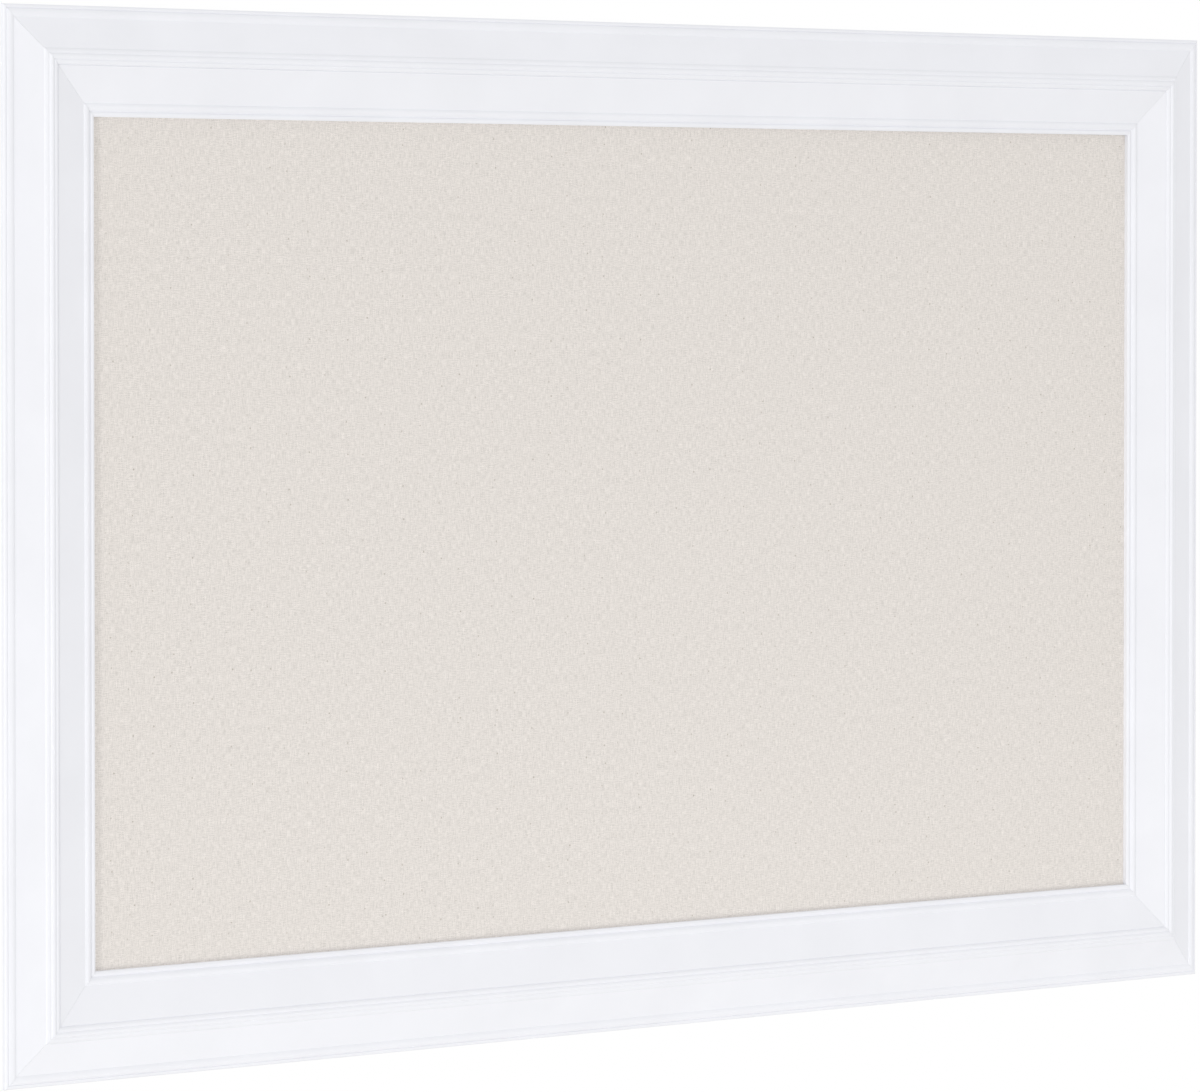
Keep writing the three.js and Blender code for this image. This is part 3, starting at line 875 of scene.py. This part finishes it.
def turned_on_lathe(profile):
    """Spins a profile, given as radius and height, round the Y axis."""
    bm = bmesh.new()
    points = [bm.verts.new((radius, height, 0)) for radius, height in profile]
    for first, second in zip(points, points[1:]):
        bm.edges.new((first, second))
    bmesh.ops.spin(
        bm,
        geom=bm.verts[:] + bm.edges[:],
        cent=(0, 0, 0),
        axis=(0, 1, 0),
        angle=math.radians(360),
        steps=screw_sides,
        use_merge=True,
    )
    bmesh.ops.remove_doubles(bm, verts=bm.verts, dist=hair / 2)
    bmesh.ops.recalc_face_normals(bm, faces=bm.faces)
    return bm


def cross_recess():
    """The tapered cross that the driver's tip fits, in a head that faces +Y."""
    bm = bmesh.new()
    arm, half = recess_arm, recess_half
    outline = []
    for i in range(4):
        turn = Matrix.Rotation(math.radians(90 * i), 3, "Y")
        corners = ((half, arm), (half, half), (arm, half))
        outline += [turn @ Vector((x, recess_mouth, z)) for x, z in corners]
    mouth = bm.faces.new([bm.verts.new(v) for v in outline])
    grown = bmesh.ops.extrude_face_region(bm, geom=[mouth])["geom"]
    deep = [v for v in grown if isinstance(v, bmesh.types.BMVert)]
    bmesh.ops.scale(bm, vec=(recess_taper, 1, recess_taper), verts=deep)
    bmesh.ops.translate(bm, vec=(0, -recess_depth, 0), verts=deep)
    bmesh.ops.recalc_face_normals(bm, faces=bm.faces)
    return bm


screw_profile = [*pan_head, *head_underside, shank_end]
for i in range(thread_turns):
    crest = first_crest - thread_pitch * i
    screw_profile.append((root_radius, crest + half_crest))
    screw_profile.append((crest_radius, crest))
    screw_profile.append((root_radius, crest - half_crest))
screw_profile += screw_tip
for side, (x, z, angle) in hangers.items():
    for i, place in enumerate(screw_places):
        bm = turned_on_lathe([(radius * mm, height * mm) for radius, height in screw_profile])
        bm = cut_away(bm, cross_recess())
        spin_stop = Matrix.Rotation(math.radians(driven_to[i]), 4, "Y")
        turned = Matrix.Translation((x, rail_back, z)) @ Matrix.Rotation(angle, 4, "Y")
        turned = turned @ Matrix.Translation((place, strap_height, 0)) @ spin_stop
        bmesh.ops.transform(bm, matrix=turned, verts=bm.verts)
        smooth_over(bm, 35)
        add_piece(
            f"pan_head_screw_{side}_{i + 1}",
            bm,
            zinc_plate,
            "board",
            [f"hanger_screw_{side}_{i + 1}"],
        )


# Wall bumpers. Moulded rubber buttons stuck on near the corners, which keep the board off the
# wall and level. Their outline is given as radius and height from the wall in millimetres.
bumper_inset = 92 * mm
bumper_side = ((0, -5), (6.1, -5), (6.3, -4.9), (6.35, -4.7), (5.25, -0.9))
bumper_top = 4.35
bumper_round = 0.8

# Moulded clear rubber: cloudy and pale, with light that gets a little way in, and a dull bloom.
clear_rubber, tree, shader = new_material("Moulded_clear_rubber", IOR=1.45)
shader.inputs["Subsurface Weight"].default_value = 0.25
shader.inputs["Subsurface Scale"].default_value = 2 * mm
spot = add_node(tree, "TexCoord").outputs["Object"]
haze = add_node(tree, "TexNoise", {"Vector": spot, "Scale": 1 / (3 * mm), "Detail": 4})
cloudy = add_node(tree, "MapRange", {"Value": haze, "From Min": 0.35, "From Max": 0.65})
rubber = add_node(
    tree, "Mix", {0: cloudy, 6: srgb("#d0d2d3"), 7: srgb("#dfe1e2")}, data_type="RGBA"
)
bloom = add_node(tree, "MapRange", {"Value": haze, "To Min": 0.35, "To Max": 0.55})
tree.links.new(rubber.outputs[2], shader.inputs["Base Color"])
tree.links.new(bloom.outputs[0], shader.inputs["Roughness"])

bumper_profile = list(bumper_side)
for t in quarter[1:]:
    top_edge = bumper_top + bumper_round * math.cos(t)
    bumper_profile.append((top_edge, -bumper_round + bumper_round * math.sin(t)))
bumper_profile.append((0, 0))
for corner, right, up in (
    ("top_right", 1, 1),
    ("bottom_right", 1, -1),
    ("bottom_left", -1, -1),
    ("top_left", -1, 1),
):
    bm = turned_on_lathe([(radius * mm, height * mm) for radius, height in bumper_profile])
    place = (right * (board_width / 2 - bumper_inset), 0, up * up_to_top)
    bmesh.ops.translate(bm, vec=place, verts=bm.verts)
    smooth_over(bm, 50)
    add_piece(
        f"rubber_bumper_{corner}",
        bm,
        clear_rubber,
        "board",
        [f"wall_bumper_{corner}"],
    )


# Studio. An even pale surround, a soft lamp far off to the left that rakes over the face of the
# board, and a weak fill from below. The surround shows as white to the camera.
surround_strength = 0.867


def looked_at(tree):
    """One where the camera, a reflection or a see-through part looks, and nought for light."""
    ray = add_node(tree, "LightPath")
    straight = add_node(
        tree,
        "Math",
        {0: ray.outputs["Is Camera Ray"], 1: ray.outputs["Is Glossy Ray"]},
        operation="MAXIMUM",
    )
    return add_node(
        tree, "Math", {0: straight, 1: ray.outputs["Is Transmission Ray"]}, operation="MAXIMUM"
    )


surround = bpy.data.worlds.new("Studio")
bpy.context.scene.world = surround
surround.use_nodes = True
tree = surround.node_tree
tree.nodes.clear()
soft_light = add_node(
    tree, "Background", {"Color": srgb("#ffffff"), "Strength": surround_strength}
)
white_ground = add_node(tree, "Background", {"Color": srgb("#ffffff"), "Strength": 1})
mixed = add_node(tree, "MixShader", {0: looked_at(tree), 1: soft_light, 2: white_ground})
add_node(tree, "OutputWorld", {"Surface": mixed})

# Each lamp's place in metres, its width and height, and its watts. All point at the board.
lamps = {
    "key": ((-7.05, -2.92, -1.2), (0.9, 1.2), 111.5),
    "low_fill": ((0.2, -1.7, -1.6), (1.6, 0.5), 7),
}
for name, (place, size, watts) in lamps.items():
    lamp = bpy.data.objects.new(name, bpy.data.lights.new(name, "AREA"))
    bpy.context.scene.collection.objects.link(lamp)
    lamp.data.shape = "RECTANGLE"
    lamp.data.size, lamp.data.size_y = size
    lamp.data.energy = watts
    lamp.location = place
    lamp.rotation_euler = Vector(place).to_track_quat("Z", "Y").to_euler()
    lamp.visible_camera = False


# Floor. A plain pale floor, well below the hung board. Far out it fades into the white surround,
# and from below it is see-through.
floor_level = -1.9
floor_radius = 9
fade_starts = 2.5
fade_ends = 6.5
floor_paint, tree, shader = new_material("Pale_matt_floor", Roughness=0.9)
shader.inputs["Base Color"].default_value = srgb("#e8e7e5")
output = tree.nodes["Material Output"]
spot = add_node(tree, "TexCoord").outputs["Object"]
distance = add_node(tree, "VectorMath", {0: spot}, operation="LENGTH").outputs["Value"]
fade = add_node(
    tree, "MapRange", {"Value": distance, "From Min": fade_starts, "From Max": fade_ends}
)
plainly_seen = looked_at(tree)
whitened = add_node(tree, "Math", {0: fade, 1: plainly_seen}, operation="MULTIPLY")
glow = add_node(tree, "Emission", {"Color": srgb("#ffffff"), "Strength": 1})
faded = add_node(tree, "MixShader", {0: whitened, 1: shader, 2: glow})
underside = add_node(tree, "NewGeometry").outputs["Backfacing"]
open_below = add_node(tree, "Math", {0: underside, 1: plainly_seen}, operation="MULTIPLY")
clear = add_node(tree, "BsdfTransparent")
surface = add_node(tree, "MixShader", {0: open_below, 1: faded, 2: clear})
tree.links.new(surface.outputs[0], output.inputs["Surface"])
bm = bmesh.new()
middle = Matrix.Translation((0, 0, floor_level))
bmesh.ops.create_circle(bm, cap_ends=True, segments=96, radius=floor_radius, matrix=middle)
mesh = bpy.data.meshes.new("floor")
bm.to_mesh(mesh)
bm.free()
mesh.materials.append(floor_paint)
floor = bpy.data.objects.new("floor", mesh)
bpy.context.scene.collection.objects.link(floor)

bpy.context.scene.view_settings.view_transform = "Standard"
